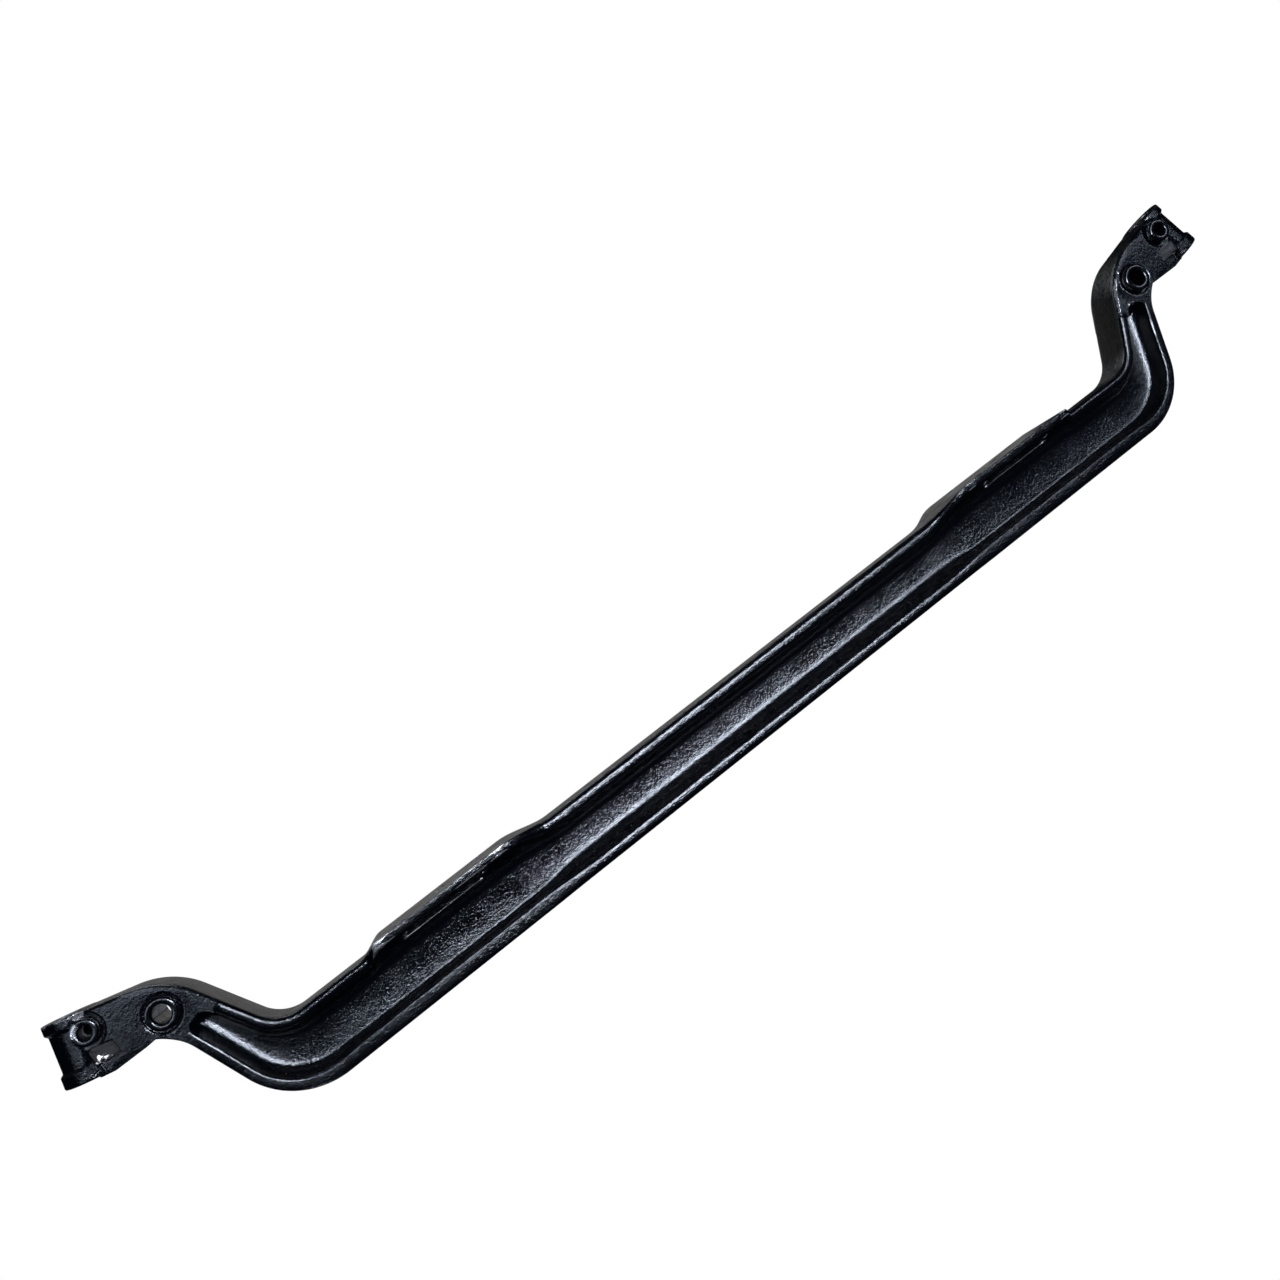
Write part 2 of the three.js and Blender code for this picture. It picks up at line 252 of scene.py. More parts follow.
section = {
    # sizes in the middle, beside the pads and along the necks
    "footThick": (16.0, 17.4, 13.4), "tip": (16.0, 13.0, 13.5),
    "wallFoot": (21.8, 19.5, 19.0), "wallTop": (23.5, 22.0, 19.5), "wallTopAtPad": 27.0,
    "underTipAtPad": 18.5, "wallBreak": 20.0,  # the wall turns out under the flange tip at this depth
    # corner radii in the same order
    "footOuter": (8.0, 3.6, 3.2), "footInner": (8.0, 3.0, 3.6),
    "tipInner": (7.6, 5.5, 5.0), "tipInnerAtPad": 1.6,
    "tipOuter": (8.0, 7.0, 6.0), "tipOuterAtPad": 1.3, "tipOuterSharper": 1.6,
    "webFoot": (17.0, 7.5, 12.0), "webTop": (17.0, 15.0, 12.0),
    # where along the beam the noses fade out, and where the wall leans in and back under a pad
    "noseEnds": (268, 344), "leansIn": (284, 352), "leansBack": (508, 560),
}


def sectionRows(f, top, foot, levelCount):
    # one I-section per station: eleven corner points, each rounded, from the foot line to the top line.
    # Between the pads the flange tips are full noses; they square up under the pads and along the necks.
    count = len(top)
    h = np.linalg.norm(top - foot, axis=1)
    x = foot[:, 0]
    i = np.arange(count)
    level = i < levelCount
    neck = smooth(levelCount - 14, levelCount + 30, i)
    plate = smooth(levelCount + 84, levelCount + 112, i)
    g = section
    nose = np.where(level, 1 - smooth(*g["noseEnds"], x), 0.0)
    under = np.where(level, smooth(*g["leansIn"], x) * (1 - smooth(*g["leansBack"], x)), 0.0)
    pad = np.where(level, padRise(f, x), 0.0)
    wide = np.where(level, np.minimum(smooth(f["padInner"] - 52, f["padInner"] - 3, x) ** 0.8,
                                      1 - smooth(f["padOuter"] - 1, f["padOuter"] + 20, x) ** 1.5), 0.0)

    def blend(mid, padded, bent):
        # one size for the middle, one beside the pads, one for the necks
        return padded + (mid - padded) * nose + (bent - padded) * neck * (1 - nose)

    def corner(n, y):
        # height above the foot line and depth from the beam's middle plane, one pair per station
        return np.stack([np.broadcast_to(n, (count,)), np.broadcast_to(-y, (count,))], 1)

    full, web = f["halfDepth"], f["webHalf"]
    topWide = full + (f["padHalf"] - full) * wide
    footThick = blend(*g["footThick"])
    tip = blend(*g["tip"]) * (1 - wide) + f["padEdge"] * wide
    wallFoot = blend(*g["wallFoot"])
    wallTop = blend(*g["wallTop"]) * (1 - wide) + g["wallTopAtPad"] * wide
    underTip = (tip + 1.5) * (1 - wide) + g["underTipAtPad"] * wide
    crown = 0.5 * (1 - pad)
    lean = 1.3 * (1 - wide) * (1 - nose) + 0.3 * wide
    controls = np.stack([
        corner(0.0, 0.0),
        corner(0.2 + 3.0 * plate, full * 0.6),
        corner(0.4 + 4.2 * plate, full),
        corner(footThick, full),
        corner(wallFoot, web - 0.4 * under),
        corner(h - wallTop, web + 0.7 * under),
        corner(h - underTip, g["wallBreak"]),
        corner(h - tip, topWide - lean),
        corner(h - crown, topWide),
        corner(h - crown * 0.3, topWide * 0.5),
        corner(h, 0.0)], 1)
    one = np.ones(count)
    tipInner = blend(*g["tipInner"]) * (1 - wide) + g["tipInnerAtPad"] * wide
    mid, padded, bent = g["tipOuter"]
    tipOuter = blend(mid, padded, bent - g["tipOuterSharper"] * plate) * (1 - wide) + g["tipOuterAtPad"] * wide
    radii = np.stack([0 * one, 0 * one, blend(*g["footOuter"]), blend(*g["footInner"]), blend(*g["webFoot"]),
                      blend(*g["webTop"]), 0.2 * one, tipInner, tipOuter, 0 * one, 0 * one], 1)
    return roundedRows(controls, radii), h


def roundedRows(c, r):
    # samples every station's corner chain at once: arcs as rational quadratics, straights evenly
    back = c[:, :-2] - c[:, 1:-1]
    ahead = c[:, 2:] - c[:, 1:-1]
    lb = np.linalg.norm(back, axis=2, keepdims=True)
    la = np.linalg.norm(ahead, axis=2, keepdims=True)
    back, ahead = back / lb, ahead / la
    half = np.arccos(np.clip((back * ahead).sum(2), -1, 1)) / 2
    reach = np.minimum(r[:, 1:-1] / np.tan(half), 0.46 * np.minimum(lb, la)[:, :, 0])[:, :, None]
    start, end = c[:, 1:-1] + back * reach, c[:, 1:-1] + ahead * reach
    w = np.sin(half)[:, :, None, None]
    arcSteps = [1, 5, 5, 7, 7, 1, 4, 5, 1]
    lineSteps = [2, 2, 2, 3, 7, 2, 3, 2, 2, 2]
    out = []
    at = c[:, 0]
    for k in range(9):
        t = np.linspace(0, 1, lineSteps[k], endpoint=False)[None, :, None]
        out.append(at[:, None] + (start[:, k] - at)[:, None] * t)
        t = np.linspace(0, 1, arcSteps[k] + 1)[None, :-1, None] if arcSteps[k] > 1 else np.zeros((1, 1, 1))
        s, p, e, wk = start[:, k][:, None], c[:, k + 1][:, None], end[:, k][:, None], w[:, k]
        top = (1 - t) ** 2 * s + 2 * t * (1 - t) * wk * p + t ** 2 * e
        out.append(top / ((1 - t) ** 2 + 2 * t * (1 - t) * wk + t ** 2))
        at = end[:, k]
    t = np.linspace(0, 1, lineSteps[9] + 1)[None, :, None]
    out.append(at[:, None] + (c[:, -1] - at)[:, None] * t)
    return np.concatenate(out, 1)


def eyeRadius(f, n):
    # radius along the pin axis: collar, sloping shoulder, waist, shoulder, collar
    height = 2 * f["eyeHalf"]
    low = 1 - smooth(f["collarFoot"], f["collarFoot"] + f["shoulder"], n)
    high = smooth(height - f["collarTop"] - f["shoulder"], height - f["collarTop"], n)
    return f["waist"] + (f["collar"] - f["waist"]) * np.maximum(low, high)


def forgedSkin(f, px, pz, n, h, depth):
    # low waves left by the dies, from a few crossed sines, and a web that dishes by half a millimetre
    wave = (np.sin(px / 9.7 + 1.3 * np.sin(pz / 23)) * np.sin(pz / 7.9 + 0.8)
            + 0.8 * np.sin(px / 23.0 + pz / 14.0) + 0.7 * np.sin(px / 41.0 - pz / 17.0 + 2.0))
    rough = 0.5 + 0.5 * smooth(250, 420, np.abs(px))
    onWeb = 1 - smooth(f["webHalf"] + 0.2, f["webHalf"] + 5, depth)
    across = np.clip((n - h / 2) / (h / 2 - 27), -1, 1)
    dish = -f["dish"] * (1 - across ** 2) * onWeb
    quiet = smooth(2.0, 8.0, n) * smooth(2.0, 8.0, h - n) * (1 - smooth(742, 760, px))
    return (f["waviness"] * wave * rough * (1 - smooth(40, 50, depth)) + dish) * quiet


def forgingBody(f):
    # every section is laid from its foot point towards its top point; the right half gives the left,
    # and the front half gives the back
    top, foot, levelCount = stationLines(f)
    rows, h = sectionRows(f, top, foot, levelCount)
    across = (top - foot) / h[:, None]
    n, y = rows[:, :, 0], rows[:, :, 1]
    px = foot[:, 0, None] + across[:, 0, None] * n
    pz = foot[:, 1, None] + across[:, 1, None] * n
    # the recess ends in a half round: beyond it the depth grows back to the full plate
    tipX, tipZ, tipR = f["pocketTip"]
    slope = math.radians(f["pocketSlope"])
    dx, dz = px - tipX, pz - tipZ
    forward = dx * math.cos(slope) + dz * math.sin(slope)
    farInside = 99.0  # any depth past the fillet
    inside = np.where(forward > 0, tipR - np.hypot(dx, dz), farInside)
    deep = np.clip((inside - 0.6) / f["pocketFillet"], 0, 1)
    sunk = (f["halfDepth"] - f["webHalf"]) * np.sqrt(1 - (1 - deep) ** 2) ** 1.15
    between = (n > 2.5) & (n < h[:, None] - 2.5)
    filled = np.where(between, np.maximum(-y, f["halfDepth"] - sunk), -y)
    filled = filled + forgedSkin(f, px, pz, n, h[:, None], filled)
    # the plate thins to the barrel over the last stretch before the pin axis
    ease = smooth(len(top) - 13, len(top) - 2, np.arange(len(top)))[:, None]
    barrel = eyeRadius(f, n + 1) - 0.5
    thinned = filled * (1 - ease) + np.minimum(filled, barrel) * ease
    filled = np.where(between, thinned, filled * (1 - 0.12 * ease))
    filled[-1] = 0
    right = np.stack([px, -filled, pz], -1)
    left = right[:0:-1] * np.array([-1, 1, 1])
    front = np.concatenate([left, right])
    back = front * np.array([1, -1, 1])
    ring = np.concatenate([front, back[:, -2:0:-1]], 1)
    rowCount, columns = ring.shape[:2]
    faces = gridFaces(rowCount, columns, True)
    piece = makeMesh("forgedBeam", ring.reshape(-1, 3), faces)
    faceOutwards(piece)
    return piece


def barrelTool(f, side, radius=None, reach=6.0, sides=96):
    # turned about the inclined pin axis: the collared eye, or a plain bore with flared mouths;
    # distance out and distance along are turned by the tilt into x and z
    eyeX, eyeZ, tilt = f["eye"]
    s, c = math.sin(math.radians(tilt)), math.cos(math.radians(tilt))
    half = f["eyeHalf"]
    if radius is None:
        t = np.linspace(0, 2 * half, 60)
        out, ease = f["collar"], 1.6
        body = [(eyeRadius(f, v), v - half) for v in t[1:-1] if ease < v < 2 * half - ease]
        rim = [(out - ease, half), (out - 0.5, half - 0.4), (out, half - ease)]
        profile = [(r, -v) for r, v in rim] + body + rim[::-1]
    else:
        flare = 1.2
        profile = [(radius + reach + flare, -half - reach), (radius, -half + flare),
                   (radius, half - flare), (radius + reach + flare, half + reach)]
    a = np.linspace(0, 2 * math.pi, sides, endpoint=False)
    rings = []
    for r, v in profile:
        dx, dy = r * np.cos(a), r * np.sin(a)
        px = eyeX + dx * c - v * s
        pz = eyeZ + dx * s + v * c
        rings.append(np.stack([side * px, dy, pz], 1))
    return closedLoft("eyeTool", rings)


def drillY(x, z, profile, sides=72):
    # cutter along Y: rings of the given (radius, depth) pairs
    a = np.linspace(0, 2 * math.pi, sides, endpoint=False)
    rings = [np.stack([x + r * np.cos(a), 0 * a + d, z + r * np.sin(a)], 1) for r, d in profile]
    return closedLoft("drill", rings)


def drillZ(x, y, profile, sides=40):
    # cutter along Z: rings of the given (radius, height) pairs
    a = np.linspace(0, 2 * math.pi, sides, endpoint=False)
    rings = [np.stack([x + r * np.cos(a), y + r * np.sin(a), 0 * a + d], 1) for r, d in profile]
    return closedLoft("drill", rings)


bores = {
    "inner": {"x": 730.6, "z": 170.3, "hole": 10.5, "body": 13.5, "flange": 17.6, "recess": 21.0, "reach": 4.0},
    "outer": {"x": 800.0, "z": 202.8, "hole": 7.6, "body": 10.0, "flange": 14.4, "recess": 20.0, "reach": 17.5},
    "sunk": 3.0, "proud": 6.0, "gap": 0.3, "through": 60.0,
}


def boreTools(f, b, side):
    # from each face: flared spot-faced recess, then the sleeve's seat; then the hole right through
    tools = []
    face = f["halfDepth"]
    floor = face - bores["sunk"]
    x, z, r, seat = side * b["x"], b["z"], b["recess"], b["body"] + bores["gap"]
    for s in (-1, 1):
        rim = [(r + 9.0, face + 5), (r + 1.6, face - 0.05), (r + 0.8, face - 0.35), (r + 0.2, face - 0.9),
               (r, face - 1.6), (r - 0.5, floor + 0.5), (r - 1.6, floor)]
        tools.append(drillY(x, z, [(out, s * depth) for out, depth in rim]))
        tools.append(drillY(x, z, [(seat, s * (face + 1)), (seat, s * (b["reach"] - bores["gap"]))]))
    tools.append(drillY(x, z, [(b["hole"], -bores["through"]), (b["hole"], bores["through"])]))
    return tools


stop = {
    "inner": 783.5, "outer": 811.0, "foot": 128.0, "headInner": 180.5, "headOuter": 187.0, "depth": 12.0,
    "corner": 5.0, "thin": 2.0, "thick": 11.0, "blockFootInner": 164.0, "blockFootOuter": 168.0,
    "pinX": 803.5, "pinZ": 168.0, "pin": 2.6, "pinBore": 1.5, "pinSlot": 1.0, "pinHole": 2.9,
    "pinHead": 27.0, "pinTail": 5.0, "gap": 0.3,
}


def stopSeatTool(f, side):
    # square-walled pocket with a flared mouth and a rounded floor edge, open below
    t = stop
    outline = roundedRing([(t["inner"], t["foot"], 1), (t["outer"], t["foot"], 1),
                           (t["outer"], t["headOuter"], t["corner"]), (t["inner"], t["headInner"], 2.0)])
    face, floor = -f["halfDepth"], -f["halfDepth"] + t["depth"]
    steps = [(5.6, face - 5), (0.8, face - 0.2), (0.15, face + 0.7), (0, face + 1.6),
             (0, floor - 1.5), (-0.4, floor - 0.4), (-1.5, floor)]
    rings = []
    for grow, y in steps:
        ring = offsetRing(outline, grow)
        rings.append(np.stack([side * ring[:, 0], np.full(len(ring), y), ring[:, 1]], 1))
    return closedLoft("seat", rings)


pad = {"middle": 433.5, "holeX": 52.0, "holeY": 41.0, "hole": 7.0, "locating": 8.0, "locatingDepth": 12.0,
       "below": 60.0}


lip = {
    "inner": 386.0, "outer": 494.0, "depth": 19.7, "height": 75.3, "sides": 16,
    # distance in from an end, radius
    "ends": [(0, 0.3), (1, 1.8), (3.5, 2.5), (6, 2.3), (8.5, 1.5), (11, 0.9)],
}


def lipTool(side, face):
    # thin lip left by the mill along the underside of a pad: a round bead, swelling at both ends
    sections = [(lip["inner"] + d, r) for d, r in lip["ends"]]
    sections += [(lip["outer"] - d, r) for d, r in lip["ends"][::-1]]
    a = np.linspace(0, 2 * math.pi, lip["sides"], endpoint=False)
    rings = []
    for x, r in sections:
        y, z = face * (lip["depth"] + r * np.cos(a)), lip["height"] + r * np.sin(a)
        rings.append(np.stack([np.full(len(a), side * x), y, z], 1))
    return closedLoft("lip", rings)


def padTools(f, side):
    # four bolt holes through the pad and a blind locating hole, their mouths opened at 45 degrees
    top, r, blind = f["padTop"], pad["hole"], pad["locating"]
    tools = []
    for sx in (-1, 1):
        for sy in (-1, 1):
            tools.append(drillZ(side * (pad["middle"] + sx * pad["holeX"]), sy * pad["holeY"],
                                [(r, pad["below"]), (r, top - 1), (r + 6, top + 5)]))
    floor = top - pad["locatingDepth"]
    tools.append(drillZ(side * pad["middle"], 0,
                        [(0.5, floor - 0.5), (blind, floor), (blind, top - 1), (blind + 6, top + 5)]))
    return tools


lug = {"inner": 762.0, "outer": 819.0, "foot": 151.5, "half": 18.0, "rise": 3.5, "top": 175.0}


def lugTool(side):
    # block under the plate with softened lower edges
    outline = roundedRing([(lug["inner"], lug["top"], 1), (lug["outer"], lug["top"], 1),
                           (lug["outer"], lug["foot"] + lug["rise"], 2), (lug["outer"] - 16, lug["foot"], 8),
                           (lug["inner"], lug["foot"], 4)])
    half, rings = lug["half"], []
    for grow, y in ((-1.8, -half), (-0.5, -half + 0.5), (0, -half + 1.8),
                    (0, half - 1.8), (-0.5, half - 0.5), (-1.8, half)):
        ring = offsetRing(outline, grow)
        rings.append(np.stack([side * ring[:, 0], np.full(len(ring), y), ring[:, 1]], 1))
    return closedLoft("lug", rings)


def buildForging():
    # body, plus the eyes, lugs and lips, less every bore, seat and hole
    f = forging
    body = forgingBody(f)
    print("forged beam swept:", len(body.data.polygons), "faces")
    combine(body, [barrelTool(f, s) for s in (-1, 1)] + [lugTool(s) for s in (-1, 1)]
            + [lipTool(s, face) for s in (-1, 1) for face in (-1, 1)], "UNION")
    cutters = [barrelTool(f, s, f["eyeBore"]) for s in (-1, 1)]
    for s in (-1, 1):
        cutters += boreTools(f, bores["inner"], s) + boreTools(f, bores["outer"], s)
        cutters += [stopSeatTool(f, s)] + padTools(f, s)
        pinHole = [(stop["pinHole"], -31), (stop["pinHole"], -4)]
        cutters.append(drillY(s * stop["pinX"], stop["pinZ"], pinHole, 24))
    combine(body, cutters, "DIFFERENCE")
    shadeSmooth(body, 32)
    print("forged beam cut:", len(body.data.polygons), "faces")
    return body


def vertexValues(piece, name, values):
    # one number per point, read by the materials as an attribute
    layer = piece.data.attributes.new(name, "FLOAT", "POINT")
    layer.data.foreach_set("value", np.asarray(values, np.float32).ravel())


def vertexPlaces(piece):
    # every point's place in millimetres
    co = np.zeros(len(piece.data.vertices) * 3, np.float32)
    piece.data.vertices.foreach_get("co", co)
    return co.reshape(-1, 3).astype(float) / mm


def convexEdges(piece):
    # turn between the two faces of each edge over their distance apart, kept where the edge stands out
    mesh = piece.data
    faceCount, loopCount = len(mesh.polygons), len(mesh.loops)
    total = np.zeros(faceCount, np.int32)
    loopEdge = np.zeros(loopCount, np.int32)
    normal = np.zeros(faceCount * 3, np.float32)
    centre = np.zeros(faceCount * 3, np.float32)
    ends = np.zeros(len(mesh.edges) * 2, np.int32)
    mesh.polygons.foreach_get("loop_total", total)
    mesh.polygons.foreach_get("normal", normal)
    mesh.polygons.foreach_get("center", centre)
    mesh.loops.foreach_get("edge_index", loopEdge)
    mesh.edges.foreach_get("vertices", ends)
    normal, centre, ends = normal.reshape(-1, 3), centre.reshape(-1, 3) / mm, ends.reshape(-1, 2)
    loopFace = np.repeat(np.arange(faceCount), total)
    order = np.argsort(loopEdge, kind="stable")
    pairEdge, pairFace = loopEdge[order], loopFace[order]
    twin = np.flatnonzero(pairEdge[:-1] == pairEdge[1:])
    a, b, edge = pairFace[twin], pairFace[twin + 1], pairEdge[twin]
    turn = np.arccos(np.clip((normal[a] * normal[b]).sum(1), -1, 1))
    apart = centre[b] - centre[a]
    outside = (apart * normal[a]).sum(1) < 0
    bend = np.where(outside, turn / np.maximum(np.linalg.norm(apart, axis=1), 0.8), 0)
    value = np.zeros(len(mesh.vertices))
    np.maximum.at(value, ends[edge, 0], bend)
    np.maximum.at(value, ends[edge, 1], bend)
    for _ in range(2):  # let it fade into the neighbouring points
        spread = value.copy()
        np.maximum.at(spread, ends[:, 0], 0.62 * value[ends[:, 1]])
        np.maximum.at(spread, ends[:, 1], 0.62 * value[ends[:, 0]])
        value = spread
    return value


# worn and knocked places: x, y, z, reach, strength
knocks = [
    (-357, -53, 92, 15, 1.0), (-516, -53, 90, 24, 1.0), (-395, -53, 92, 30, 0.45),
    (357, -53, 92, 10, 0.7), (515, -52, 90, 12, 0.6),
    (-838, -22, 233, 12, 0.6), (-815, -28, 226, 10, 0.4), (-797, -29, 221, 9, 0.7), (-771, -31, 190, 5, 0.9),
    (845, -20, 230, 10, 0.5), (690, -29, 170, 50, 0.3), (655, -29, 105, 40, 0.3), (-640, -30, 6, 40, 0.3),
    (60, -28, 3, 90, 0.35), (-120, -28, 3, 60, 0.3), (280, -28, 3, 40, 0.35),
]


def knockMap(p):
    # the strongest of the soft round falloffs about each knock
    out = np.zeros(len(p))
    for x, y, z, reach, strength in knocks:
        d = np.sqrt((p[:, 0] - x) ** 2 + (p[:, 1] - y) ** 2 + (p[:, 2] - z) ** 2)
        out = np.maximum(out, strength * (1 - smooth(0.25 * reach, reach, d)))
    return out


def aboutEye(f, p):
    # distance along the pin axis from the eye's middle, and distance off that axis
    x = np.abs(p[:, 0])
    eyeX, eyeZ, tilt = f["eye"]
    s, c = math.sin(math.radians(tilt)), math.cos(math.radians(tilt))
    along = -(x - eyeX) * s + (p[:, 2] - eyeZ) * c
    return along, np.hypot((x - eyeX) * c + (p[:, 2] - eyeZ) * s, p[:, 1])


def machinedMap(f, p):
    # 1 on the milled pad tops and the faced ends of the eyes, 0.6 on the flat plates, 0 elsewhere
    x = np.abs(p[:, 0])
    along, off = aboutEye(f, p)
    pads = (p[:, 2] > f["padTop"] - 0.4) & (p[:, 2] < f["padTop"] + 0.4) & (x > 300) & (x < 560)
    ends = (np.abs(np.abs(along) - f["eyeHalf"]) < 0.25) & (off < f["collar"])
    plates = (x > 700) & (np.abs(np.abs(p[:, 1]) - f["halfDepth"]) < 0.4)
    return np.where(pads | ends, 1.0, np.where(plates, 0.6, 0.0))


def bareBoreShadeMap(f, p):
    # 1 inside the pin bore, which paint does not reach; the paint material darkens the bare steel there as
    # painted shade
    along, off = aboutEye(f, p)
    return np.where((off < f["eyeBore"] + 1.0) & (np.abs(along) < f["eyeHalf"] - 0.3), 1.0, 0.0)


beam = buildForging()
places = vertexPlaces(beam)
vertexValues(beam, "edge", smooth(0.10, 0.42, convexEdges(beam)))
vertexValues(beam, "knock", knockMap(places))
vertexValues(beam, "machined", machinedMap(forging, places))
vertexValues(beam, "bareBoreShade", bareBoreShadeMap(forging, places))
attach(beam, "root")
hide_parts("axle_beam")


sleeveKnock = (-809, -34, 211, 4, 12)  # x, y, z of the rubbed place on one lip, and where it fades


def makeSleeve(name, b, side, face):
    # turned bush: rounded outer lip, bevelled mouth, flange in the recess, body in its seat
    seat = forging["halfDepth"] - bores["sunk"] + bores["gap"]
    out = forging["halfDepth"] + bores["proud"]
    end, hole, flange, body = b["reach"] + bores["gap"], b["hole"], b["flange"], b["body"]
    profile = [(hole, end), (hole, 0.5 * (seat + b["reach"])), (hole, seat),
               (hole, out - 1.5), (hole + 0.35, out - 0.7), (hole + 1.0, out - 0.25), (hole + 1.7, out),
               (flange - 2.0, out), (flange - 1.0, out - 0.25), (flange - 0.3, out - 0.9), (flange, out - 1.8),
               (flange, seat + 1.0), (flange - 0.3, seat + 0.2), (flange - 0.6, seat),
               (body, seat), (body, end + 0.6), (body - 0.6, end)]
    sleeve = latheY(name, profile, side * b["x"], b["z"], 96, mirrorY=face < 0)
    shadeSmooth(sleeve, 38)
    p = vertexPlaces(sleeve)
    off = np.hypot(p[:, 0] - side * b["x"], p[:, 2] - b["z"])
    vertexValues(sleeve, "bareBoreShade", np.zeros(len(p)))
    vertexValues(sleeve, "edge", np.where((np.abs(p[:, 1]) > out - 2) & (off > b["hole"] + 0.2), 0.7, 0.0))
    x, y, z, near, far = sleeveKnock
    away = np.hypot(p[:, 0] - x, np.hypot(p[:, 2] - z, p[:, 1] - y))
    vertexValues(sleeve, "knock", 1 - smooth(near, far, away))
    vertexValues(sleeve, "machined", np.zeros(len(p)))
    return sleeve


sleeves = []
for sideName, side in (("left", -1), ("right", 1)):
    for faceName, face in (("front", -1), ("rear", 1)):
        for kind, b in (("key_bore_sleeve", bores["outer"]), ("cross_bore_sleeve", bores["inner"])):
            node = f"{kind}_{sideName}_{faceName}"
            name = kind.replace("_b", "B").replace("_s", "S") + sideName.title() + faceName.title()
            piece = makeSleeve(name, b, side, face)
            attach(piece, "root")
            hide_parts(node)
            sleeves.append(piece)
print("sleeves turned:", len(sleeves))


def makeStopBlock(name, side):
    # wedge: the front outline carried in depth, thin inboard and thick outboard, edges eased
    t = stop
    near, far, ease = t["inner"] + t["gap"], t["outer"] - t["gap"], 1.2
    outline = roundedRing([(near, t["blockFootInner"], ease), (far, t["blockFootOuter"], ease),
                           (far, t["headOuter"] - t["gap"], t["corner"]),
                           (near, t["headInner"] - t["gap"], ease)], 8)
    back = -forging["halfDepth"] + t["depth"] - t["gap"]
    share = (outline[:, 0] - t["inner"]) / (t["outer"] - t["inner"])
    front = back - t["thin"] - (t["thick"] - t["thin"]) * share
    steps = [(-0.7, 0.0), (-0.2, 0.04), (0, 0.12), (0, 0.5), (0, 0.88), (-0.3, 0.96), (-0.9, 1.0), (-4, 1.0)]
    rings = []
    for grow, level in steps:
        ring = offsetRing(outline, grow)
        rings.append(np.stack([side * ring[:, 0], back + (front - back) * level, ring[:, 1]], 1))
    block = closedLoft(name, rings)
    r = t["pinHole"]
    hole = drillY(side * t["pinX"], t["pinZ"], [(r + 0.8, -40), (r, -34), (r, -2)], 32)
    combine(block, [hole], "DIFFERENCE")
    shadeSmooth(block, 35)
    p = vertexPlaces(block)
    vertexValues(block, "edge", smooth(0.10, 0.42, convexEdges(block)))
    outboard = smooth(794, 800, np.abs(p[:, 0])) * (1 - smooth(176, 182, p[:, 2]))
    vertexValues(block, "worn", outboard if side < 0 else 0.1 * outboard)
    return block


def makePin(name, side):
    # slotted tube: outline of the rolled strip carried along the bore, ends eased
    t = stop
    gapAngle = math.asin(t["pinSlot"] / 2 / t["pin"])
    a = np.linspace(gapAngle, 2 * math.pi - gapAngle, 40)
    outer = np.stack([t["pin"] * np.cos(a), t["pin"] * np.sin(a)], 1)
    b = a[::-1]
    inner = np.stack([t["pinBore"] * np.cos(b), t["pinBore"] * np.sin(b)], 1)
    ring = np.concatenate([outer, inner])
    tail, head, rows = -t["pinTail"], -t["pinHead"], []
    for y, grow in ((tail, -0.25), (tail - 0.4, 0), (head + 0.5, 0), (head, -0.3)):
        r = offsetRing(ring, grow)
        rows.append(np.stack([side * (t["pinX"] + r[:, 0]), np.full(len(r), y), t["pinZ"] + r[:, 1]], 1))
    points = np.concatenate(rows)
    count = len(ring)
    faces = gridFaces(len(rows), count, True).tolist()
    i = np.arange(len(a) - 1)
    for base in (0, (len(rows) - 1) * count):  # end faces as a strip between the two arcs
        faces += np.stack([base + i, base + i + 1, base + count - 2 - i, base + count - 1 - i], 1).tolist()
    pin = makeMesh(name, points, faces)
    faceOutwards(pin)
    shadeSmooth(pin, 35)
    return pin


blocks, pins = [], []
for sideName, side in (("left", -1), ("right", 1)):
    block = makeStopBlock("steeringStopBlock" + sideName.title(), side)
    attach(block, "root")
    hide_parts(f"steering_stop_block_{sideName}")
    blocks.append(block)
    pin = makePin("stopBlockPin" + sideName.title(), side)
    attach(pin, "root")
    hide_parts(f"stop_block_pin_{sideName}")
    pins.append(pin)
print("stop blocks and pins made:", len(blocks) + len(pins))


def nodeGroup(name, inputs, outputs):
    # an empty shader group with its named sockets, and its two end nodes
    group = bpy.data.node_groups.new(name, "ShaderNodeTree")
    for title, kind, value in inputs:
        socket = group.interface.new_socket(title, in_out="INPUT", socket_type=kind)
        socket.default_value = value
    for title, kind in outputs:
        group.interface.new_socket(title, in_out="OUTPUT", socket_type=kind)
    return group, group.nodes.new("NodeGroupInput"), group.nodes.new("NodeGroupOutput")


def node(tree, kind, inputs=None, **settings):
    # adds a node, sets its properties, then fills or links its sockets
    made = tree.nodes.new(kind)
    for key, value in settings.items():
        setattr(made, key, value)
    for key, value in (inputs or {}).items():
        if isinstance(value, bpy.types.NodeSocket):
            tree.links.new(value, made.inputs[key])
        else:
            made.inputs[key].default_value = value
    return made


def ramp(tree, source, low, high, out0=0.0, out1=1.0):
    # eased step from out0 at low to out1 at high
    ends = {"Value": source, "From Min": low, "From Max": high, "To Min": out0, "To Max": out1}
    return node(tree, "ShaderNodeMapRange", ends, interpolation_type="SMOOTHSTEP").outputs["Result"]


def maths(tree, operation, a, b=0.0, clamp=False):
    # a with b under the named operation, held between 0 and 1 when clamped
    made = node(tree, "ShaderNodeMath", {0: a, 1: b}, operation=operation)
    made.use_clamp = clamp
    return made.outputs[0]


def mixColour(tree, factor, a, b):
    # colour a at factor 0, colour b at factor 1
    made = node(tree, "ShaderNodeMix", data_type="RGBA")
    for index, value in ((0, factor), (6, a), (7, b)):
        if isinstance(value, bpy.types.NodeSocket):
            tree.links.new(value, made.inputs[index])
        else:
            made.inputs[index].default_value = value
    return made.outputs[2]


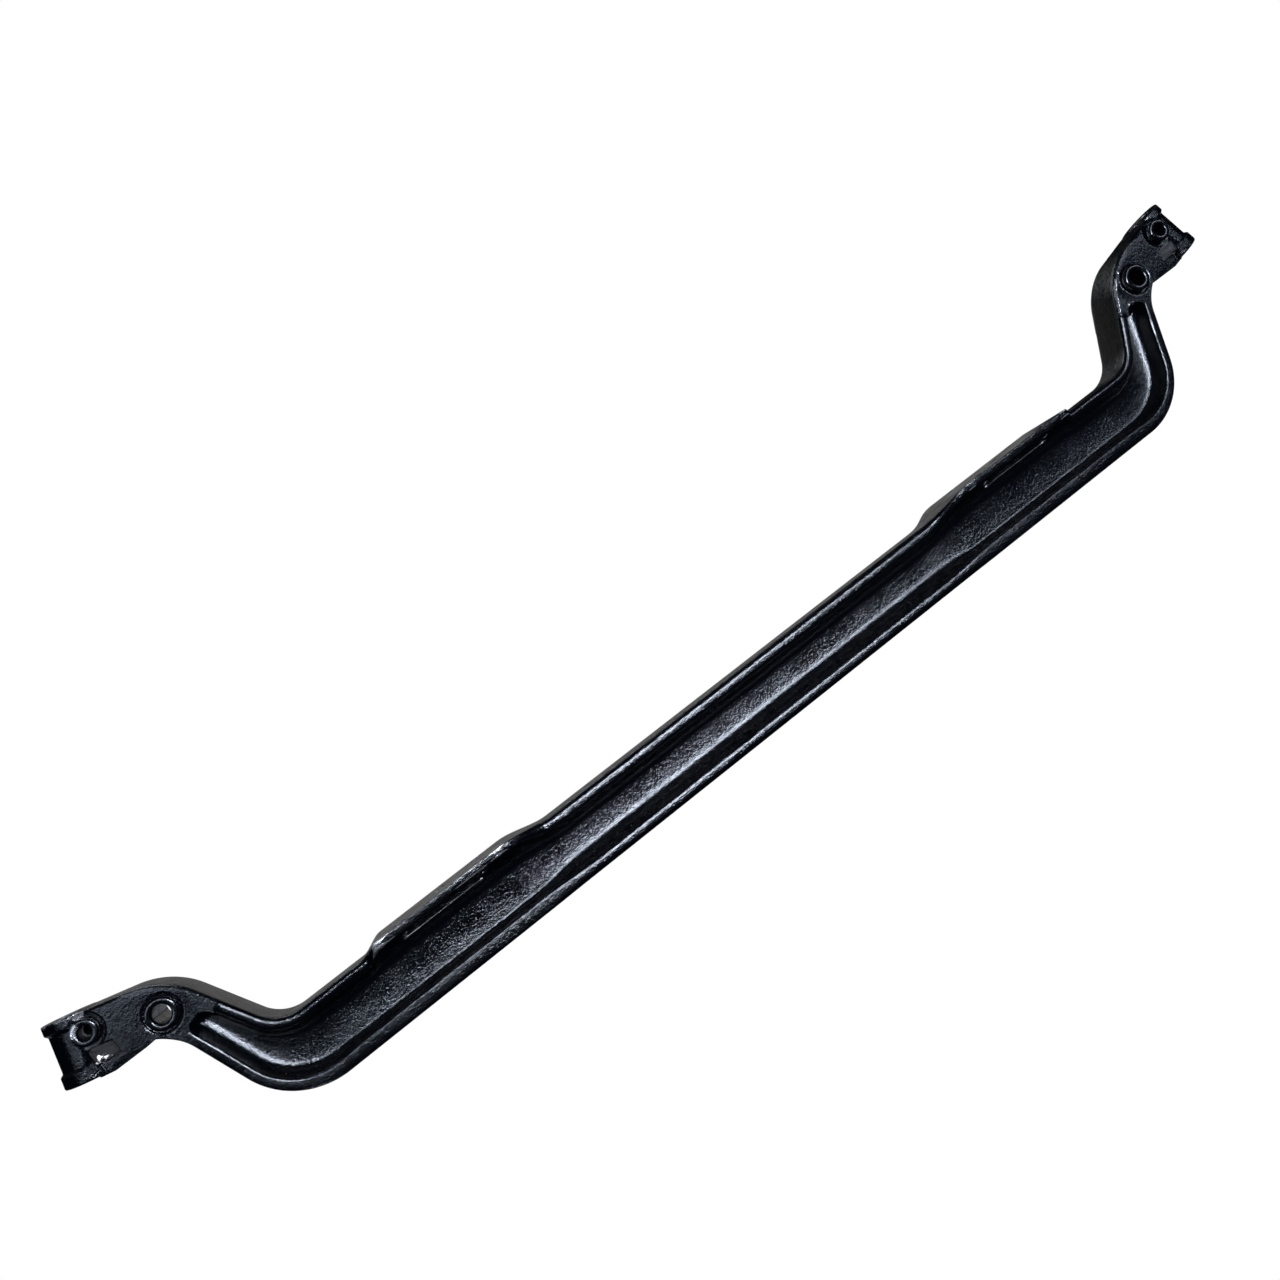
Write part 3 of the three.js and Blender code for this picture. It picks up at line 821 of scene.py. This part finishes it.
def noise(tree, place, scale, detail=2.0, rough=0.5, distortion=0.0):
    # smooth random field with the given repeats in a metre
    field = {"Vector": place, "Scale": scale, "Detail": detail, "Roughness": rough, "Distortion": distortion}
    return node(tree, "ShaderNodeTexNoise", field).outputs["Fac"]


def makeSkinGroup():
    # pebbled forging scale under paint: two sizes of grain, scattered pits, drawn-out ripples
    tree, into, out = nodeGroup("forgedGrain",
                                [("Vector", "NodeSocketVector", (0, 0, 0)), ("Grain", "NodeSocketFloat", 620.0),
                                 ("Ripple", "NodeSocketFloat", 1.0), ("Calm", "NodeSocketFloat", 0.0)],
                                [("Height", "NodeSocketFloat"), ("Patches", "NodeSocketFloat")])
    place = into.outputs["Vector"]
    fine = noise(tree, place, into.outputs["Grain"], 2.0, 0.6)
    medium = noise(tree, place, maths(tree, "MULTIPLY", into.outputs["Grain"], 0.36), 2.0, 0.6, 0.6)
    ripple = noise(tree, place, 75.0, 3.0, 0.6, 0.8)
    cells = node(tree, "ShaderNodeTexVoronoi", {"Vector": place, "Scale": 210.0, "Randomness": 1.0})
    pits = ramp(tree, cells.outputs["Distance"], 0.05, 0.30)
    patches = noise(tree, place, 22.0, 3.0, 0.6)
    height = maths(tree, "ADD", maths(tree, "MULTIPLY", fine, 0.55), maths(tree, "MULTIPLY", medium, 0.9))
    waves = maths(tree, "MULTIPLY", maths(tree, "MULTIPLY", ripple, 1.6), into.outputs["Ripple"])
    height = maths(tree, "ADD", height, waves)
    height = maths(tree, "ADD", height, maths(tree, "MULTIPLY", pits, 0.18))
    quiet = maths(tree, "SUBTRACT", 1.0, maths(tree, "MULTIPLY", into.outputs["Calm"], 0.8))
    tree.links.new(maths(tree, "MULTIPLY", height, quiet), out.inputs["Height"])
    tree.links.new(patches, out.inputs["Patches"])
    return tree


def makeWearGroup():
    # chips break through where noise beats one minus the wear; scuffs are the softer halo about them
    tree, into, out = nodeGroup("edgeWear",
                                [("Vector", "NodeSocketVector", (0, 0, 0)), ("Edge", "NodeSocketFloat", 0.0),
                                 ("Knock", "NodeSocketFloat", 0.0), ("Amount", "NodeSocketFloat", 0.5)],
                                [(title, "NodeSocketFloat") for title in ("Chips", "Scuffs", "Fleck")])
    place = into.outputs["Vector"]
    rubbed = maths(tree, "MULTIPLY", into.outputs["Edge"], into.outputs["Amount"])
    hard = maths(tree, "ADD", maths(tree, "MULTIPLY", into.outputs["Edge"], 0.35), 0.30)
    drive = maths(tree, "ADD", rubbed, maths(tree, "MULTIPLY", into.outputs["Knock"], hard))
    breakup = maths(tree, "ADD", maths(tree, "MULTIPLY", noise(tree, place, 260.0, 4.0, 0.7), 0.6),
                    maths(tree, "MULTIPLY", noise(tree, place, 60.0, 3.0, 0.6), 0.4))
    level = maths(tree, "ADD", breakup, drive)
    tree.links.new(ramp(tree, level, 0.93, 0.99), out.inputs["Chips"])
    tree.links.new(ramp(tree, level, 0.72, 0.96), out.inputs["Scuffs"])
    tree.links.new(noise(tree, place, 900.0, 2.0, 0.6), out.inputs["Fleck"])
    return tree


def makeDustGroup():
    # fine brown dust that settles where the surface faces up, broken by soft streaks
    tree, into, out = nodeGroup("settledDust",
                                [("Vector", "NodeSocketVector", (0, 0, 0)), ("Amount", "NodeSocketFloat", 0.5)],
                                [("Dust", "NodeSocketFloat")])
    normal = node(tree, "ShaderNodeNewGeometry").outputs["Normal"]
    facing = ramp(tree, node(tree, "ShaderNodeSeparateXYZ", {0: normal}).outputs["Z"], 0.25, 0.95)
    streaks = ramp(tree, noise(tree, into.outputs["Vector"], 55.0, 4.0, 0.65, 0.5), 0.35, 0.72, 0.25, 1.0)
    dust = maths(tree, "MULTIPLY", maths(tree, "MULTIPLY", facing, streaks), into.outputs["Amount"])
    tree.links.new(dust, out.inputs["Dust"])
    return tree


grainGroup, wearGroup, dustGroup = makeSkinGroup(), makeWearGroup(), makeDustGroup()


def attribute(tree, name):
    # the number a piece carries at each point
    return node(tree, "ShaderNodeAttribute", attribute_name=name).outputs["Fac"]


def startMaterial(name):
    # a material with nothing but its shader, its output and the piece's own coordinates
    material = bpy.data.materials.new(name)
    material.use_nodes = True
    tree = material.node_tree
    tree.nodes.clear()
    output = tree.nodes.new("ShaderNodeOutputMaterial")
    shader = tree.nodes.new("ShaderNodeBsdfPrincipled")
    tree.links.new(shader.outputs[0], output.inputs[0])
    place = tree.nodes.new("ShaderNodeTexCoord").outputs["Object"]
    return material, tree, shader, place


def useGroup(tree, group, inputs):
    # the shared group placed in this material with its own values
    return node(tree, "ShaderNodeGroup", inputs, node_tree=group)


paintLook = {
    "black": (0.0006, 0.0008, 0.0015, 1), "dust": (0.0026, 0.0023, 0.0020, 1),
    "scuff": (0.020, 0.022, 0.026, 1), "metal": (0.50, 0.49, 0.49, 1), "rust": (0.12, 0.07, 0.04, 1),
    # the bore steel colour is far darker than the chipped steel: painted shade inside the pin bore
    "boreSteelPaintedShade": (0.05, 0.047, 0.045, 1), "roughness": 0.15, "wear": 0.30, "dustAmount": 0.8,
    "grain": 880.0, "bump": 0.37, "depth": 0.0011,  # grains in a metre, strength and height in metres
}


def makePaint(name, look, ripple):
    # gloss black over the grain; dust greys what faces up, scuffs pale it, chips show steel; inside the pin
    # bore the steel is darkened as painted shade
    material, tree, shader, place = startMaterial(name)
    skin = useGroup(tree, grainGroup, {"Vector": place, "Grain": look["grain"], "Ripple": ripple,
                                       "Calm": attribute(tree, "machined")})
    wear = useGroup(tree, wearGroup, {"Vector": place, "Edge": attribute(tree, "edge"),
                                      "Knock": attribute(tree, "knock"), "Amount": look["wear"]})
    dust = useGroup(tree, dustGroup, {"Vector": place, "Amount": look["dustAmount"]}).outputs["Dust"]
    bareBoreShade = attribute(tree, "bareBoreShade")
    chips, scuffs = wear.outputs["Chips"], wear.outputs["Scuffs"]
    steel = mixColour(tree, ramp(tree, wear.outputs["Fleck"], 0.5, 0.7), look["metal"], look["rust"])
    colour = mixColour(tree, dust, look["black"], look["dust"])
    colour = mixColour(tree, maths(tree, "MULTIPLY", scuffs, 0.6), colour, look["scuff"])
    metal = maths(tree, "MAXIMUM", chips, bareBoreShade)
    # inside the pin bore the steel takes the much darker bore colour: painted shade, over bare metal
    colour = mixColour(tree, metal, colour, mixColour(tree, bareBoreShade, steel, look["boreSteelPaintedShade"]))
    tree.links.new(colour, shader.inputs["Base Color"])
    tree.links.new(maths(tree, "MULTIPLY", metal, 0.8), shader.inputs["Metallic"])
    rough = maths(tree, "ADD", maths(tree, "MULTIPLY", skin.outputs["Patches"], 0.16), look["roughness"] - 0.08)
    rough = maths(tree, "ADD", rough, maths(tree, "MULTIPLY", dust, 0.30), True)
    rough = maths(tree, "ADD", rough, maths(tree, "MULTIPLY", scuffs, 0.08), True)
    tree.links.new(rough, shader.inputs["Roughness"])
    height = maths(tree, "SUBTRACT", skin.outputs["Height"], maths(tree, "MULTIPLY", chips, 0.5))
    bump = node(tree, "ShaderNodeBump", {"Height": height, "Strength": look["bump"], "Distance": look["depth"]})
    tree.links.new(bump.outputs[0], shader.inputs["Normal"])
    shader.inputs["Specular IOR Level"].default_value = 0.5
    return material


forgedPaint = makePaint("glossBlackOverForging", paintLook, 0.6)
sleeveLook = dict(paintLook, bump=0.12, grain=700.0, wear=0.20)
sleevePaint = makePaint("glossBlackOverSleeve", sleeveLook, 0.3)


blockLook = {
    "dark": (0.003, 0.003, 0.0035, 1), "brown": (0.012, 0.0105, 0.0095, 1), "bright": (0.60, 0.57, 0.54, 1),
    "wear": 0.22, "grain": 500.0, "ripple": 1.2, "bump": 0.2, "depth": 0.0008,
    "smoothest": 0.42, "roughest": 0.60, "sheen": 0.12,
}


def makeBlockSteel(name, look):
    # hammered block: paint left in the hollows, bright rubbed steel where the stop strikes
    material, tree, shader, place = startMaterial(name)
    worn = attribute(tree, "worn")
    wear = useGroup(tree, wearGroup, {"Vector": place, "Edge": attribute(tree, "edge"),
                                      "Knock": 0.0, "Amount": look["wear"]})
    skin = useGroup(tree, grainGroup, {"Vector": place, "Grain": look["grain"],
                                       "Ripple": look["ripple"], "Calm": 0.0})
    struck = maths(tree, "ADD", noise(tree, place, 170.0, 4.0, 0.65), maths(tree, "MULTIPLY", worn, 0.40))
    rubbed = ramp(tree, struck, 0.80, 0.92)
    bright = maths(tree, "MAXIMUM", wear.outputs["Chips"], rubbed)
    paint = mixColour(tree, skin.outputs["Patches"], look["dark"], look["brown"])
    tree.links.new(mixColour(tree, bright, paint, look["bright"]), shader.inputs["Base Color"])
    tree.links.new(maths(tree, "MULTIPLY", bright, 0.9), shader.inputs["Metallic"])
    rough = ramp(tree, skin.outputs["Patches"], 0.2, 0.8, look["smoothest"], look["roughest"])
    tree.links.new(rough, shader.inputs["Roughness"])
    height = skin.outputs["Height"]
    bump = node(tree, "ShaderNodeBump", {"Height": height, "Strength": look["bump"], "Distance": look["depth"]})
    tree.links.new(bump.outputs[0], shader.inputs["Normal"])
    shader.inputs["Specular IOR Level"].default_value = look["sheen"]
    return material


pinLook = {
    "steel": (0.16, 0.155, 0.15, 1), "rust": (0.07, 0.04, 0.025, 1),
    "alongStretch": 0.08, "grain": 2600.0, "bump": 0.3, "depth": 0.0003,
    "smoothest": 0.24, "roughest": 0.5,
}


def makePinSteel(name, look):
    # drawn spring strip, dulled by oil and a little rust
    material, tree, shader, place = startMaterial(name)
    stretch = {"Vector": place, "Scale": (1.0, look["alongStretch"], 1.0)}
    drawn = node(tree, "ShaderNodeMapping", stretch).outputs[0]
    lines = noise(tree, drawn, look["grain"], 3.0, 0.6)
    spots = ramp(tree, noise(tree, place, 380.0, 3.0, 0.6), 0.52, 0.66)
    tree.links.new(mixColour(tree, spots, look["steel"], look["rust"]), shader.inputs["Base Color"])
    tree.links.new(ramp(tree, spots, 0.0, 1.0, 0.95, 0.35), shader.inputs["Metallic"])
    rough = ramp(tree, lines, 0.2, 0.8, look["smoothest"], look["roughest"])
    tree.links.new(rough, shader.inputs["Roughness"])
    bump = node(tree, "ShaderNodeBump", {"Height": lines, "Strength": look["bump"], "Distance": look["depth"]})
    tree.links.new(bump.outputs[0], shader.inputs["Normal"])
    return material


blockSteel = makeBlockSteel("rubbedStopSteel", blockLook)
pinSteel = makePinSteel("drawnPinSteel", pinLook)


def finish(piece, material):
    # one material over the whole piece
    piece.data.materials.clear()
    piece.data.materials.append(material)


finish(beam, forgedPaint)
for piece in sleeves:
    finish(piece, sleevePaint)
for piece in blocks:
    finish(piece, blockSteel)
for piece in pins:
    finish(piece, pinSteel)


def finishFor(name):
    # the frame solids go by their names: stop_block_pin, steering_stop_block, sleeves, then the beam
    for word, material in (("pin", pinSteel), ("block", blockSteel), ("sleeve", sleevePaint)):
        if word in name:
            return material
    return forgedPaint


for name, cad in frame["nodes"].items():  # the plain frame solids carry a finish too
    finish(cad, finishFor(name))
print("finishes assigned")

studio = {
    "cameraPlace": (-0.35169, -1.33565, 0.17818), "cameraRight": (0.782859, -0.159152, -0.601501),
    "cameraUp": (0.588729, -0.123329, 0.798867), "lens": 32.344,
    "lights": [
        # name, place, aim, width, height, watts, colour
        ("coreStrip", (0.17, -2.60, 0.68), (0.05, 0.0, 0.08), 1.15, 0.28, 68.0, (0.78, 0.86, 1.0)),
        ("middleStrip", (0.50, -2.61, 0.68), (0.25, 0.0, 0.08), 2.15, 0.28, 64.0, (0.76, 0.85, 1.0)),
        ("longStrip", (0.40, -2.62, 0.68), (0.05, 0.0, 0.08), 6.5, 0.28, 45.0, (0.70, 0.82, 1.0)),
        ("frontWash", (0.40, -3.00, 0.55), (0.0, 0.0, 0.08), 6.5, 1.6, 1.7, (0.50, 0.68, 1.0)),
        ("backWash", (0.0, 3.0, 0.9), (0.0, 0.0, 0.08), 5.0, 1.6, 7.0, (1.0, 0.99, 0.97)),
        ("rearHigh", (-0.2, 1.9, 3.0), (0.0, 0.0, 0.08), 2.4, 0.5, 22.0, (0.90, 0.95, 1.0)),
        ("rearFloor", (0.0, 1.75, 0.002), (0.0, 1.75, 1.0), 5.0, 2.4, 13.0, (0.80, 0.88, 1.0)),
    ],
    "dim": (0.004, 0.005, 0.007, 1), "paper": (1.0, 1.0, 1.0, 1),
}


def standing(right, up, back, place):
    # matrix with the three directions as its columns and the place as its last
    rows = np.column_stack([right, up, back, place])
    return Matrix([*rows.tolist(), [0, 0, 0, 1]])


def makeCamera(s):
    # the eye looks against the cross of its right and its up
    lens = bpy.data.cameras.new("studioCamera")
    lens.sensor_width = 36.0
    lens.lens = s["lens"]
    lens.clip_start, lens.clip_end = 0.02, 200.0
    camera = bpy.data.objects.new("studioCamera", lens)
    bpy.context.scene.collection.objects.link(camera)
    right, up = np.array(s["cameraRight"]), np.array(s["cameraUp"])
    back = np.cross(right, up)
    camera.matrix_world = standing(right, up, back, s["cameraPlace"])
    bpy.context.scene.camera = camera


def makeLights(s):
    # flat lamps turned so that each one's back points from its aim to its place
    for name, place, aim, width, height, watts, colour in s["lights"]:
        data = bpy.data.lights.new(name, "AREA")
        data.shape = "RECTANGLE"
        data.size, data.size_y = width, height
        data.energy, data.color = watts, colour
        lamp = bpy.data.objects.new(name, data)
        lamp.visible_camera = False
        bpy.context.scene.collection.objects.link(lamp)
        back = np.array(place) - np.array(aim)
        back /= np.linalg.norm(back)
        right = np.cross([0, 0, 1.0], back) if abs(back[2]) < 0.98 else np.array([1.0, 0, 0])
        right /= np.linalg.norm(right)
        up = np.cross(back, right)
        lamp.matrix_world = standing(right, up, back, place)


def makeSurround(s):
    # the eye sees plain pale paper all round; the steel sees a darkened room
    world = bpy.data.worlds.new("paleRoom")
    bpy.context.scene.world = world
    world.use_nodes = True
    tree = world.node_tree
    tree.nodes.clear()
    seen = node(tree, "ShaderNodeLightPath").outputs["Is Camera Ray"]
    glow = node(tree, "ShaderNodeBackground", {"Color": mixColour(tree, seen, s["dim"], s["paper"])})
    tree.links.new(glow.outputs[0], node(tree, "ShaderNodeOutputWorld").inputs[0])
    half, low = 30.0, -0.0015  # metres: the paper lies just under the beam
    mesh = bpy.data.meshes.new("paperFloor")
    corners = [(x, y, low) for x, y in ((-half, -half), (half, -half), (half, half), (-half, half))]
    mesh.from_pydata(corners, [], [(0, 1, 2, 3)])
    floor = bpy.data.objects.new("paperFloor", mesh)
    bpy.context.scene.collection.objects.link(floor)
    floor.visible_glossy = False
    floor.visible_diffuse = False
    material, _, shader, _ = startMaterial("palePaper")
    shader.inputs["Base Color"].default_value = (0.0, 0.0, 0.0, 1)
    shader.inputs["Roughness"].default_value = 1.0
    shader.inputs["Specular IOR Level"].default_value = 0.0
    shader.inputs["Emission Color"].default_value = s["paper"]
    shader.inputs["Emission Strength"].default_value = 1.0
    finish(floor, material)


makeCamera(studio)
makeLights(studio)
makeSurround(studio)
bpy.context.scene.view_settings.view_transform = "Standard"
print("studio ready")
